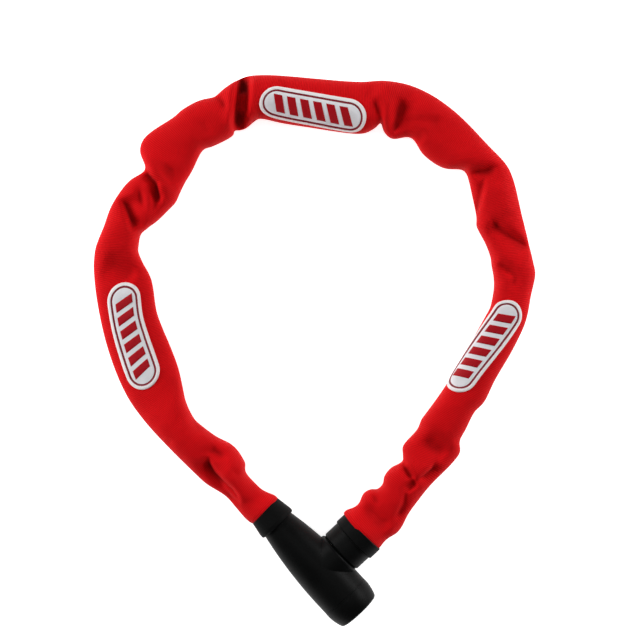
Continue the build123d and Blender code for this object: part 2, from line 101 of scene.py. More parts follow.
# Folds in the top of the sleeve: name, line on the ground, depth (below nought is a ridge), how far it
# reaches to the left and to the right of the line, how steep its sides are, and how far its lip hangs over
# to the right.
FOLDS = [
    ("tongue edge",
     [(-68.3, -66.4), (-67, -72.2), (-64, -77.1), (-58.2, -83.3), (-53, -87.5), (-50.1, -91.7),
      (-48.1, -98.9)],
     7, 0.9, 4.2, 1.6, 1.6),
    ("tongue root", [(-71.8, -64.4), (-65.3, -64.1), (-59.5, -68), (-57.5, -72.2)], 3.6, 2.6, 2.2, 1.6, 0),
    ("tongue back", [(-60.1, -72.2), (-53.6, -80), (-47.1, -90.4), (-41.9, -99.5)], -1.6, 4, 4, 2, 0),
    ("cuff side crease", [(-47.1, -81.3), (-51, -78.1), (-53.6, -73.5)], 1.6, 1.6, 1.6, 1.2, 0),
    ("left curve line", [(-80.9, -39.1), (-77, -46.2), (-72.5, -56)], 1.5, 2.4, 2.4, 1.4, 0),
    ("left curve spot", [(-95.2, -56.6), (-91.3, -60.5)], 0.8, 1.6, 1.6, 2, 0),
    ("dip over the left patch", [(-136.8, 58.4), (-126.4, 54.5), (-114.1, 45.4)], 2.6, 5.5, 5.5, 2, 0),
    ("pocket flap", [(-125.8, 99.4), (-123.2, 93.5), (-120.6, 87), (-118.3, 81.2), (-116.7, 76)],
     7.5, 6.2, 1, 1.6, -1.6),
    ("pleat flap", [(-110.2, 118.9), (-106.3, 114.3), (-101.4, 109.1), (-99.5, 100.7), (-100.4, 94.2)],
     6.5, 0.9, 3.2, 1.5, 1.6),
    ("pleat left valley", [(-114.1, 108.5), (-111.5, 98.7), (-108.2, 89.6)], 2.8, 2, 2, 1.4, 0),
    ("pleat middle valley", [(-102.4, 108.5), (-103, 98.1), (-105, 87)], 3, 2, 2, 1.4, 0),
    ("pleat middle ridge", [(-107.6, 105.9), (-106.9, 96.8), (-106.6, 89)], -1.2, 2, 2, 2, 0),
    ("shoulder valley", [(-96.5, 122.8), (-94.6, 114.3), (-92, 103.3)], 2.8, 4.2, 4.2, 2, 0),
    ("shoulder ridge", [(-112.8, 128), (-105.6, 120.2), (-98.5, 111.1), (-94.6, 100.7)], -2, 3, 3, 2, 0),
    ("upper left soft", [(-74.4, 150.7), (-70.5, 142.9), (-68.6, 135.1)], 1.2, 4, 4, 2, 0),
    ("notch crease", [(-64, 165.7), (-58.8, 161.1), (-55.6, 153.3)], 2.6, 1.8, 1.8, 1.3, 0),
    ("deep fold", [(-45.5, 181.3), (-46.5, 168.3), (-47.8, 156.6), (-50.1, 141)], 10, 3.1, 2.8, 2.6, 0),
    ("deep fold left lip", [(-51, 180), (-53, 165.7), (-54, 151.4), (-54.3, 141)], -2.2, 3, 3, 2, 0),
    ("deep fold right lip", [(-39.3, 180), (-40, 163.1), (-43.2, 144.9)], -1.2, 3, 3, 2, 0),
    ("soft over the top notch", [(41.3, 174.8), (36.1, 167.6), (30.2, 159.8)], 1.5, 3.5, 3.5, 2, 0),
    ("top notch crease", [(43.2, 148.8), (41.3, 156.6), (38, 164.4)], 3.2, 2.2, 2.2, 1.4, 0),
    ("lobe dent", [(57.5, 164.4), (53.6, 155.9), (51.7, 147.5), (50.4, 138.4)], 4.2, 5, 2.2, 1.7, -0.8),
    ("lobe ridge", [(48.4, 165.7), (47.1, 155.3), (47.1, 142.3)], -1.4, 3, 3, 2, 0),
    ("upper right step", [(54.3, 149.4), (68.6, 148.8), (85.5, 148.1)], 1.8, 2, 8, 1.6, 0),
    ("lobe soft", [(66, 142.3), (70.5, 134.5)], 1.6, 2.6, 2.6, 2, 0),
    ("corner pinch", [(98.5, 116.3), (104.3, 115.6), (110.2, 115.6), (119.3, 118.9)], 5.6, 2, 3.4, 1.5, 0),
    ("corner line", [(110.8, 114.3), (108.2, 102.6), (106.3, 93.5), (104.3, 85.7)], 4.2, 0.9, 4, 1.5, 0.8),
    ("corner highlight", [(118.6, 111.1), (120.6, 98.1), (125.1, 85.1)], -1.2, 4, 4, 2, 0),
    ("diagonal fold", [(112.8, 85.7), (120.6, 79.2), (129.7, 72.7), (140.7, 64.9)], 4.6, 1.6, 7, 1.5, 0.6),
    ("diagonal crease", [(117.3, 58.4), (122.5, 53.9), (130.3, 49.3)], 3.4, 2, 2.6, 1.4, 0),
    ("crease over the right patch", [(127.7, 53.9), (129, 46.7), (125.8, 38.9)], 2.2, 2.4, 1.6, 1.5, 0),
    ("right neck soft", [(69.9, -54), (77, -61.2), (86.8, -67.7)], 2.6, 4.5, 4.5, 2, 0),
    ("lobe right edge", [(77.7, -69.6), (75.4, -75.5), (69.9, -79.7), (65.3, -83.6)],
     5.5, 3.8, 0.8, 1.5, -1.4),
    ("lobe left edge", [(56.9, -72.2), (60.8, -76.4), (63, -80), (65.6, -83.6)], 4.5, 0.8, 2.4, 1.4, 0.8),
    ("slit", [(57.8, -89.1), (61.4, -86.5), (66, -83.3)], 8, 1.3, 1.3, 2, 0),
    ("small lobe line", [(59.1, -87.8), (57.2, -98.2), (54.3, -104.7), (50.4, -109.3)], 3.2, 1.6, 1, 1.2, 0),
    ("small lobe valley", [(32.2, -96.9), (37.4, -103.4), (43.2, -109.3), (51.7, -111.2)],
     3.6, 4.2, 4.2, 2, 0),
    ("small crease", [(36.1, -91.7), (41.9, -98.9)], 2.4, 1.6, 1.6, 1.5, 0),
]
FOLD_FADE = 8.0  # a fold comes in over this length from each end of its line
LIP_REACH = 3.0  # how far from the line a lip still hangs over
DEEPER, WIDER = 1.45, 1.35  # all the folds are this much deeper and wider than listed
ROUNDING_STEPS = 10  # steps of the smooth curve between two points of an edge

STEP = 0.9  # spacing of the crosswise sections along the sleeve
AROUND = 88  # points round a section, from the outer edge over the top and back underneath
CLOTH = 0.8  # thickness of the cloth
HEIGHT_SUM = 57.0  # a narrow section stands taller: width and height together
LOWEST, TALLEST = 22.0, 28.0  # limits of the lying sleeve's height
LOWER_SHARE = 0.47  # part of the lying height that is below the section's middle
AXIS_HEIGHT = 16.7  # height of the lock's and the stud's axis
RISE = 34.0  # the sleeve comes up from the ground over this length at each end
INTO_CUFF = 2.0  # how far the sleeve goes into each cuff
FIRST_PIECE = 14.0  # length of the sleeve's first piece, at the lock's cuff
FLOOR_GAP = 0.25  # between the sleeve and the ground
FOLD_FLOOR = 9.0  # no fold goes lower than this above the ground
# Between the cloth's inside and the chain below it, at the end and before evening out
CHAIN_GAP, FIRST_CHAIN_GAP = 0.4, 0.9
CHAIN_REACH = 22.0  # the chain is looked for this far to each side of the sleeve's middle
SPREAD_SPARE = 0.7  # part of the chain table's spread that needn't be covered
MOST_MOVED = 8.0  # the sleeve's edge moves out for the chain by no more than this
SLEEVE_ROUND = 88.0  # the cloth's way round the sleeve
PAINTED_SHADE_ROUNDS = 70  # rounds of evening out that the folds are judged against, for their painted shade
PAINTED_SHADE_DEPTH = 4.5  # a fold this deep gets the full painted shade
PAINTED_SHADE_STRENGTH = 0.72  # part of its colour that the cloth loses there to painted shade
TUCK = 0.06  # how much the sleeve shrinks where it goes into a cuff


def smooth(rows, spread):
    """rows, averaged along the first axis with a bell curve of this spread, in rows."""
    reach = int(3 * spread) + 1
    weights = np.exp(-0.5 * (np.arange(-reach, reach + 1) / spread) ** 2)
    weights /= weights.sum()
    flat = rows.reshape(len(rows), -1)
    padded = np.concatenate([2 * flat[0] - flat[reach:0:-1], flat, 2 * flat[-1] - flat[-2:-reach - 2:-1]])
    out = np.stack([np.convolve(column, weights, "valid") for column in padded.T], 1)
    return out.reshape(rows.shape)


def along(points, count):
    """count points at equal distances along a line of points, without its last one."""
    points = np.array(points, float)
    reached = np.concatenate([[0], np.cumsum(np.linalg.norm(np.diff(points, axis=0), axis=1))])
    wanted = np.arange(count) / count * reached[-1]
    return np.stack([np.interp(wanted, reached, points[:, axis]) for axis in range(2)], 1)


def length_of(points):
    return sum(math.dist(a, b) for a, b in zip(points, points[1:]))


def rounded(stretches):
    """The stretches as parts of a smooth curve through all their points, each up to the start of the next."""
    points = np.array([point for stretch in stretches for point in stretch], float)
    gaps = np.sqrt(np.linalg.norm(np.diff(points, axis=0), axis=1))
    knots = np.concatenate([[0], np.cumsum(gaps)])
    slopes = np.gradient(points, knots, axis=0)
    curves, number = [], 0
    for stretch in stretches[:-1]:
        curve = []
        for here in range(number, number + len(stretch)):
            span = knots[here + 1] - knots[here]
            for t in np.arange(ROUNDING_STEPS) / ROUNDING_STEPS:
                rest = 1 - t
                curve.append((1 + 2 * t) * rest ** 2 * points[here]
                             + t * rest ** 2 * span * slopes[here]
                             + t * t * (3 - 2 * t) * points[here + 1]
                             - t * t * rest * span * slopes[here + 1])
        number += len(stretch)
        curves.append(curve + [points[number]])
    return curves


def sleeve_edges():
    """The outer and inner edge of the sleeve, one point each for every section."""
    outer, inner = [], []
    out_curves = rounded([stretch[1] for stretch in EDGES])
    in_curves = rounded([stretch[2] for stretch in EDGES])
    for out_line, in_line in zip(out_curves, in_curves):
        count = max(2, round((length_of(out_line) + length_of(in_line)) / 2 / STEP))
        outer.append(along(out_line, count))
        inner.append(along(in_line, count))
    outer.append(np.array(EDGES[-1][1][-1:], float))
    inner.append(np.array(EDGES[-1][2][-1:], float))
    return smooth(np.concatenate(outer), 1.5), smooth(np.concatenate(inner), 1.5)


def ease(value):
    value = np.clip(value, 0, 1)
    return value * value * (3 - 2 * value)


def section_shape(round_share):
    """A section one unit wide and high each way from its middle: x and z at AROUND points, evenly spaced."""
    turn = np.linspace(0, 2 * math.pi, 721)
    cosine, sine = np.cos(turn), np.sin(turn)
    side = np.where(sine > 0, 0.86 + 0.14 * round_share, 0.6 + 0.4 * round_share)
    power = np.where(sine > 0, 0.86 + 0.14 * round_share, 0.48 + 0.52 * round_share)
    x = np.sign(cosine) * np.abs(cosine) ** side
    z = np.sign(sine) * np.abs(sine) ** power
    out = []
    for first, last in ((0, 361), (360, 721)):
        px, pz = x[first:last], z[first:last] * 0.7
        reached = np.concatenate([[0], np.cumsum(np.hypot(np.diff(px), np.diff(pz)))])
        wanted = np.arange(AROUND // 2) / (AROUND // 2) * reached[-1]
        out.append(np.stack([np.interp(wanted, reached, px), np.interp(wanted, reached, pz) / 0.7], 1))
    return np.concatenate(out)


def fold_drop(places):
    """How far each place goes down, and how far its lip moves over, from all the folds."""
    drop = np.zeros(len(places))
    slide = np.zeros((len(places), 2))
    for _, line, depth, left, right, power, lean in FOLDS:
        line = np.array(line)
        pieces = np.diff(line, axis=0)
        lengths = np.linalg.norm(pieces, axis=1)
        start = np.concatenate([[0], np.cumsum(lengths)])
        nearest = np.full(len(places), 1e9)
        side = np.zeros(len(places))
        reached = np.zeros(len(places))
        across = np.zeros((len(places), 2))
        for number, (corner, piece, size) in enumerate(zip(line, pieces, lengths)):
            unit = piece / size
            offset = places - corner
            run = np.clip(offset @ unit, 0, size)
            away = offset - run[:, None] * unit
            distance = np.linalg.norm(away, axis=1)
            closer = distance < nearest
            nearest = np.where(closer, distance, nearest)
            left_of = unit[0] * offset[:, 1] - unit[1] * offset[:, 0]
            side = np.where(closer, np.sign(left_of), side)
            reached = np.where(closer, start[number] + run, reached)
            across[closer] = (unit[1], -unit[0])
        fade = min(FOLD_FADE, start[-1] / 2.5)
        strength = 0.08 + 0.92 * ease(np.minimum(reached, start[-1] - reached) / fade)
        reach = np.where(side > 0, left, right) * WIDER
        drop += depth * strength * np.exp(-((nearest / reach) ** power))
        if lean:
            lip = (side > 0) if lean > 0 else (side < 0)
            slide += across * (lean * strength * lip * np.exp(-((nearest / LIP_REACH) ** 2)))[:, None]
    return drop, slide


def wrinkles(i_mm, j_mm):
    """Small unevenness of slack cloth, from smooth noise that is longer across the sleeve than along it."""
    out = np.empty(len(i_mm))
    for number, (a, b) in enumerate(zip(i_mm, j_mm)):
        broad = noise.noise(Vector((a / 26, b / 30, 1.7)))
        fine = noise.noise(Vector((a / 7 + 0.04 * b, b / 16, 9.2)))
        out[number] = 0.9 * broad + 0.38 * fine
    return out


def relax(grid, rounds):
    """Evens the grid out a little, the first and the last section only round themselves."""
    for _ in range(rounds):
        beside = (np.roll(grid, 1, 1) + np.roll(grid, -1, 1)) / 2
        ahead = grid.copy()
        ahead[1:-1] = (grid[2:] + grid[:-2]) / 2
        grid = 0.5 * grid + 0.25 * beside + 0.25 * ahead
    return grid


def chain_tops():
    """Height of the chain's top in cells of 1 mm on the ground, spread by two cells, the same spread by three
    and evened out, and the first cell."""
    spots = []
    for number in range(1, 14):
        piece = frame["nodes"][f"chain_links_{number:02d}"]
        mesh = piece.data
        for edge in mesh.edges:
            ends = [piece.matrix_world @ mesh.vertices[index].co / MM for index in edge.vertices]
            steps = int((ends[1] - ends[0]).length) + 1
            spots.extend(tuple(ends[0].lerp(ends[1], step / steps)) for step in range(steps + 1))
    spots = np.array(spots)
    first = np.floor(spots[:, :2].min(axis=0)).astype(int) - 4
    cells = np.floor(spots[:, :2]).astype(int) - first
    tops = np.zeros(cells.max(axis=0) + 9)
    np.maximum.at(tops, (cells[:, 0], cells[:, 1]), spots[:, 2])
    for _ in range(2):
        for axis in (0, 1):
            tops = np.maximum(tops, np.maximum(np.roll(tops, 1, axis), np.roll(tops, -1, axis)))
    even = tops.copy()
    for axis in (0, 1):
        even = np.maximum(even, np.maximum(np.roll(even, 1, axis), np.roll(even, -1, axis)))
    for _ in range(4):
        for axis in (0, 1):
            even = even / 2 + (np.roll(even, 1, axis) + np.roll(even, -1, axis)) / 4
    return tops, even, first


def cells_at(places):
    """The cells of the chain's height table at places on the ground."""
    cells = np.floor(places).astype(int) - CHAIN_TOPS[2]
    return tuple(np.moveaxis(np.clip(cells, 0, np.array(CHAIN_TOPS[0].shape) - 1), -1, 0))


def hold_chain(outer, inner):
    """Both edges of the sleeve, moved out where the chain would otherwise show beside it."""
    middle = (outer + inner) / 2
    half = np.linalg.norm(outer - inner, axis=1) / 2
    sideways = (outer - middle) / half[:, None]
    offsets = np.arange(-CHAIN_REACH, CHAIN_REACH + 0.1, 0.25)
    taken = CHAIN_TOPS[0][cells_at(middle[:, None] + sideways[:, None] * offsets[:, None])] > 0
    out = []
    for side, edge in ((1, outer), (-1, inner)):
        chain = np.where(taken, offsets * side, -99).max(axis=1) - SPREAD_SPARE
        more = np.clip(chain - half, 0, MOST_MOVED)
        for _ in range(6):
            more[1:-1] = np.maximum(more[1:-1], (more[2:] + more[:-2]) / 2)
            more = np.maximum(more, np.maximum(np.roll(more, 1), np.roll(more, -1)) - 0.25)
        more = smooth(more[:, None], 2.5)
        out.append(edge + sideways * side * more)
    return out


def clear_of_chain(grid, places, gap):
    """Raises the places of the grid that lie less than gap above the chain."""
    needed = np.full(grid.shape[:2], gap)
    places_on_ground = grid[:, :, :2] - 0.5
    share = places_on_ground - np.floor(places_on_ground)
    for step_x in (0, 1):
        for step_y in (0, 1):
            weight = np.abs(1 - step_x - share[:, :, 0]) * np.abs(1 - step_y - share[:, :, 1])
            needed += weight * CHAIN_TOPS[1][cells_at(places_on_ground + np.array([step_x, step_y]))]
    grid[:, :, 2] = np.where(places, np.maximum(grid[:, :, 2], needed), grid[:, :, 2])


def build_grid():
    """The whole sleeve as a grid of points in mm, and the distance along it of every section."""
    outer, inner = hold_chain(*sleeve_edges())
    first, last = (outer[0] + inner[0]) / 2, (outer[-1] + inner[-1]) / 2
    into_lock = first - (outer[3] + inner[3]) / 2
    into_stud = last - (outer[-4] + inner[-4]) / 2
    into_lock *= INTO_CUFF / np.linalg.norm(into_lock)
    into_stud *= INTO_CUFF / np.linalg.norm(into_stud)
    outer = np.concatenate([[outer[0] + into_lock], outer, [outer[-1] + into_stud]])
    inner = np.concatenate([[inner[0] + into_lock], inner, [inner[-1] + into_stud]])
    middle = (outer + inner) / 2
    reached = np.concatenate([[0], np.cumsum(np.linalg.norm(np.diff(middle, axis=0), axis=1))])
    width = np.linalg.norm(outer - inner, axis=1)
    sideways = (outer - inner) / width[:, None]
    from_end = np.minimum(reached, reached[-1] - reached)
    round_share = 1 - ease(from_end / RISE)
    lying_height = smooth(np.clip(HEIGHT_SUM - width, LOWEST, TALLEST), 7)
    height = lying_height * (1 - round_share) + width * round_share
    middle_z = (FLOOR_GAP + lying_height * LOWER_SHARE) * (1 - round_share) + AXIS_HEIGHT * round_share
    grid = np.zeros((len(middle), AROUND, 3))
    topness = np.zeros((len(middle), AROUND))
    for row, share in enumerate(round_share):
        shape = section_shape(share)
        half_up = height[row] - (middle_z[row] - FLOOR_GAP) if share < 1 else height[row] / 2
        half_up = half_up * (1 - share) + height[row] / 2 * share
        half_down = (middle_z[row] - FLOOR_GAP) * (1 - share) + height[row] / 2 * share
        grid[row, :, :2] = middle[row] + sideways[row] * (shape[:, :1] * width[row] / 2)
        grid[row, :, 2] = middle_z[row] + shape[:, 1] * np.where(shape[:, 1] > 0, half_up, half_down)
        topness[row] = np.clip(shape[:, 1] * 2.4, 0, 1)
    flat = grid.reshape(-1, 3)
    weight = topness.reshape(-1)
    drop, slide = fold_drop(flat[:, :2])
    along_mm = np.repeat(reached, AROUND)
    around_mm = np.tile(np.arange(AROUND) * 1.0, len(middle))
    calm = np.repeat(ease(from_end / 8), AROUND)
    uneven = wrinkles(along_mm, np.abs(around_mm - AROUND / 2)) * calm
    drop *= DEEPER
    room = np.maximum(flat[:, 2] - FOLD_FLOOR, 0.5)
    drop = room * np.tanh(drop * weight / room)
    flat[:, 2] += uneven * weight - drop
    flat[:, :2] += slide * weight[:, None]
    over_chain = topness > 0.3
    clear_of_chain(grid, over_chain, CLOTH + FIRST_CHAIN_GAP)
    grid = relax(grid, 3)
    clear_of_chain(grid, over_chain, CLOTH + CHAIN_GAP)
    grid = relax(grid, 1)
    grid[:, :, 2] = np.maximum(grid[:, :, 2], FLOOR_GAP)
    axis = np.concatenate([middle, np.full((len(middle), 1), AXIS_HEIGHT)], 1)[:, None, :]
    tuck = 1 - TUCK * (1 - ease(from_end / (INTO_CUFF + 1.5)))
    return axis + (grid - axis) * tuck[:, None, None], reached


def grid_normals(grid):
    ahead = np.gradient(grid, axis=0)
    beside = (np.roll(grid, -1, 1) - np.roll(grid, 1, 1)) / 2
    normal = np.cross(beside, ahead)
    normal /= np.linalg.norm(normal, axis=2, keepdims=True) + 1e-12
    middle = grid.mean(axis=1, keepdims=True)
    if np.sum(normal * (grid - middle)) < 0:
        normal = -normal
    return normal


def painted_fold_shade_amounts(grid, normals):
    """How far each place of the top lies below its surroundings, from nought to one, for the painted shade
    that darkens the folds.
    """
    below = relax(grid, PAINTED_SHADE_ROUNDS)[:, :, 2] - grid[:, :, 2]
    return np.clip(below / PAINTED_SHADE_DEPTH, 0, 1) * (normals[:, :, 2] > 0)


# ---------------------------------------------------------------- material helpers
def link(tree, source, target):
    tree.links.new(source, target)


def math_node(tree, operation, first, second=0.0, third=None):
    """A Math node on sockets or plain numbers, and its output."""
    node = tree.nodes.new("ShaderNodeMath")
    node.operation = operation
    for socket, value in zip(node.inputs, (first, second, third)):
        if value is None:
            continue
        if isinstance(value, (int, float)):
            socket.default_value = value
        else:
            link(tree, value, socket)
    return node.outputs[0]


def noise_node(tree, coordinate, scale, detail=3.0, roughness=0.55):
    node = tree.nodes.new("ShaderNodeTexNoise")
    node.inputs["Scale"].default_value = scale
    node.inputs["Detail"].default_value = detail
    node.inputs["Roughness"].default_value = roughness
    link(tree, coordinate, node.inputs["Vector"])
    return node.outputs["Fac"]


def ramp(tree, value, *stops):
    """A colour ramp: stops are (place, colour)."""
    node = tree.nodes.new("ShaderNodeValToRGB")
    elements = node.color_ramp.elements
    while len(elements) < len(stops):
        elements.new(0.5)
    for element, (place, color) in zip(elements, stops):
        element.position = place
        element.color = (*color, 1)
    link(tree, value, node.inputs["Fac"])
    return node.outputs["Color"]


def new_material(name, roughness, metallic=0.0, **sockets):
    """A Principled material, its tree and its shader. A socket's name has _ where Blender has a space."""
    material = bpy.data.materials.new(name)
    material.use_nodes = True
    tree = material.node_tree
    shader = tree.nodes["Principled BSDF"]
    shader.inputs["Roughness"].default_value = roughness
    shader.inputs["Metallic"].default_value = metallic
    for socket, value in sockets.items():
        shader.inputs[socket.replace("_", " ")].default_value = value
    return material, tree, shader


def bump(tree, shader, height, strength, distance):
    node = tree.nodes.new("ShaderNodeBump")
    node.inputs["Strength"].default_value = strength
    node.inputs["Distance"].default_value = distance
    link(tree, height, node.inputs["Height"])
    link(tree, node.outputs["Normal"], shader.inputs["Normal"])


def object_place(tree):
    return tree.nodes.new("ShaderNodeTexCoord").outputs["Object"]


def uv_parts(tree, name):
    """A UV map's vector and its two numbers."""
    uv = tree.nodes.new("ShaderNodeUVMap")
    uv.uv_map = name
    split = tree.nodes.new("ShaderNodeSeparateXYZ")
    link(tree, uv.outputs["UV"], split.inputs[0])
    return uv.outputs["UV"], split.outputs["X"], split.outputs["Y"]


def sleeve_material():
    """Ribbed red weave: heavy yarns across the sleeve, thin ones along it that hold them down by turns, with
    painted shade in the rib grooves and in the folds.
    """
    rib_pitch, yarn_pitch = 1.05, 0.8
    material, tree, shader = new_material(
        "sleeve_weave", 0.8, Sheen_Weight=0.06, Sheen_Roughness=0.5, Sheen_Tint=(1.0, 0.15, 0.12, 1),
        Specular_IOR_Level=0.08)
    uv, u, v = uv_parts(tree, "cloth")
    wander = noise_node(tree, uv, 0.09, 2.0)
    u = math_node(tree, "MULTIPLY_ADD", wander, 1.6, u)
    rib = math_node(tree, "SINE", math_node(tree, "MULTIPLY", u, 2 * math.pi / rib_pitch))
    rib = math_node(tree, "MULTIPLY_ADD", rib, 0.5, 0.5)
    row = math_node(tree, "FLOOR", math_node(tree, "DIVIDE", u, rib_pitch))
    half_turns = math_node(tree, "MULTIPLY", row, math.pi)
    shifted = math_node(tree, "MULTIPLY_ADD", v, 2 * math.pi / yarn_pitch, half_turns)
    yarn = math_node(tree, "MULTIPLY_ADD", math_node(tree, "SINE", shifted), 0.5, 0.5)
    fuzz = noise_node(tree, uv, 2.2, 4.0)
    patchy = noise_node(tree, uv, 0.045, 2.0)
    height = math_node(tree, "MULTIPLY_ADD", yarn, 0.35, rib)
    height = math_node(tree, "MULTIPLY_ADD", fuzz, 0.4, height)
    # Painted shade: the colour is darker in the rib grooves and lighter on the rib tops and raised yarns; the
    # noise adds random tone and patches.
    shade = math_node(tree, "MULTIPLY_ADD", rib, 0.42, math_node(tree, "MULTIPLY", fuzz, 0.3))
    shade = math_node(tree, "MULTIPLY_ADD", patchy, 0.35, shade)
    shade = math_node(tree, "MULTIPLY_ADD", yarn, 0.1, shade)
    color = ramp(tree, shade, (0.15, (0.38, 0.0006, 0.002)), (0.55, (0.62, 0.0015, 0.004)),
                 (0.95, (0.78, 0.005, 0.009)))
    # Painted shade: the base colour is darkened where the cloth lies deep in a fold.
    hollow = tree.nodes.new("ShaderNodeAttribute")
    hollow.attribute_name = "hollow"
    kept = math_node(tree, "MULTIPLY_ADD", hollow.outputs["Fac"], -PAINTED_SHADE_STRENGTH, 1.0)
    scaled = tree.nodes.new("ShaderNodeVectorMath")
    scaled.operation = "SCALE"
    link(tree, color, scaled.inputs[0])
    link(tree, kept, scaled.inputs["Scale"])
    link(tree, scaled.outputs["Vector"], shader.inputs["Base Color"])
    bump(tree, shader, height, 0.55, 0.00022)
    return material


def plastic_material(name, roughness, grain):
    """Moulded black plastic or rubber: fine grain, cloudy gloss, a little paler where the grain stands up."""
    material, tree, shader = new_material(name, roughness, Specular_IOR_Level=0.07)
    place = object_place(tree)
    fine = noise_node(tree, place, grain, 3.0)
    cloudy = noise_node(tree, place, 60.0, 4.0)
    dark, pale = 0.0012, 0.004
    color = ramp(tree, math_node(tree, "MULTIPLY_ADD", fine, 0.5, math_node(tree, "MULTIPLY", cloudy, 0.5)),
                 (0.3, (dark, dark * 1.08, dark * 1.08)), (0.75, (pale, pale * 1.1, pale * 1.08)))
    link(tree, color, shader.inputs["Base Color"])
    link(tree, math_node(tree, "MULTIPLY_ADD", cloudy, 0.16, roughness - 0.08), shader.inputs["Roughness"])
    bump(tree, shader, fine, 0.35, 0.00012)
    return material


def metal_material(name, color, roughness, scratch):
    """Machined or plated metal with fine drawn lines and stains."""
    material, tree, shader = new_material(name, roughness, metallic=1.0)
    place = object_place(tree)
    stretch = tree.nodes.new("ShaderNodeMapping")
    stretch.inputs["Scale"].default_value = (scratch, scratch, 12.0)
    link(tree, place, stretch.inputs["Vector"])
    lines = noise_node(tree, stretch.outputs["Vector"], 9.0, 4.0)
    stains = noise_node(tree, place, 180.0, 4.0)
    tint = ramp(tree, stains, (0.3, tuple(c * 0.72 for c in color)), (0.7, color))
    link(tree, tint, shader.inputs["Base Color"])
    link(tree, math_node(tree, "MULTIPLY_ADD", lines, 0.25, roughness - 0.12), shader.inputs["Roughness"])
    bump(tree, shader, lines, 0.2, 0.00005)
    return material


def patch_material():
    """The label's cloth: white satin edge, a thin dark line, and a silver-grey woven field."""
    material, tree, shader = new_material("patch_weave", 0.55, Sheen_Weight=0.1, Sheen_Roughness=0.4,
                                          Specular_IOR_Level=0.35)
    uv, depth, run = uv_parts(tree, "label")
    thread = math_node(tree, "SINE", math_node(tree, "MULTIPLY", run, 2 * math.pi / 0.55))
    cross = math_node(tree, "SINE", math_node(tree, "MULTIPLY", depth, 2 * math.pi / 0.7))
    fuzz = noise_node(tree, uv, 1.6, 3.0)
    ragged = math_node(tree, "MULTIPLY_ADD", fuzz, 0.35, math_node(tree, "SUBTRACT", depth, 0.17))
    edge_distance_tone = math_node(tree, "MULTIPLY_ADD", fuzz, 0.02, math_node(tree, "MULTIPLY", ragged, 0.1))
    # Colour by distance from the edge: pinkish at the very edge, a white border, a thin dark line, then a
    # silver-grey field that turns slightly darker towards the middle.
    color = ramp(tree, edge_distance_tone,
                 (0.0, (0.70, 0.60, 0.60)), (0.05, (0.88, 0.85, 0.85)), (0.235, (0.88, 0.85, 0.85)),
                 (0.25, (0.24, 0.006, 0.018)), (0.36, (0.24, 0.006, 0.018)), (0.378, (0.84, 0.84, 0.86)),
                 (0.44, (0.80, 0.80, 0.83)), (1.0, (0.76, 0.77, 0.80)))
    link(tree, color, shader.inputs["Base Color"])
    weave = math_node(tree, "MULTIPLY_ADD", cross, 0.35, math_node(tree, "MULTIPLY_ADD", thread, 0.5, fuzz))
    bump(tree, shader, weave, 0.5, 0.0002)
    return material


def stripe_material():
    """Red embroidery thread."""
    material, tree, shader = new_material("stripe_thread", 0.6, Sheen_Weight=0.04,
                                          Sheen_Tint=(1, 0.4, 0.4, 1), Specular_IOR_Level=0.12)
    uv, _, run = uv_parts(tree, "label")
    thread = math_node(tree, "SINE", math_node(tree, "MULTIPLY", run, 2 * math.pi / 0.5))
    fuzz = noise_node(tree, uv, 2.0, 3.0)
    color = ramp(tree, math_node(tree, "MULTIPLY_ADD", thread, 0.2, fuzz),
                 (0.2, (0.32, 0.001, 0.006)), (0.8, (0.50, 0.003, 0.010)))
    link(tree, color, shader.inputs["Base Color"])
    bump(tree, shader, thread, 0.5, 0.0002)
    return material


MATERIALS = {
    "lock_plastic": plastic_material("lock_plastic_black", 0.46, 2600.0),
    "cuff_rubber": plastic_material("cuff_rubber_black", 0.6, 1800.0),
    "hardened_steel": metal_material("steel_hardened", (0.42, 0.42, 0.44), 0.34, 500.0),
    "cylinder_brass": metal_material("brass_machined", (0.78, 0.58, 0.27), 0.3, 500.0),
    "spring_steel": metal_material("steel_spring", (0.5, 0.5, 0.52), 0.28, 300.0),
    "chain_steel": metal_material("steel_zinc_plated", (0.6, 0.61, 0.62), 0.36, 220.0),
}
SLEEVE = sleeve_material()
PATCH = patch_material()
STRIPE = stripe_material()


def dress_cad_nodes():
    """Every piece that keeps its CAD shape gets the material of its slot."""
    for piece in frame["nodes"].values():
        for slot in piece.material_slots:
            plain = slot.material.name if slot.material else ""
            for slot_name, material in MATERIALS.items():
                if plain.startswith(slot_name):
                    slot.material = material


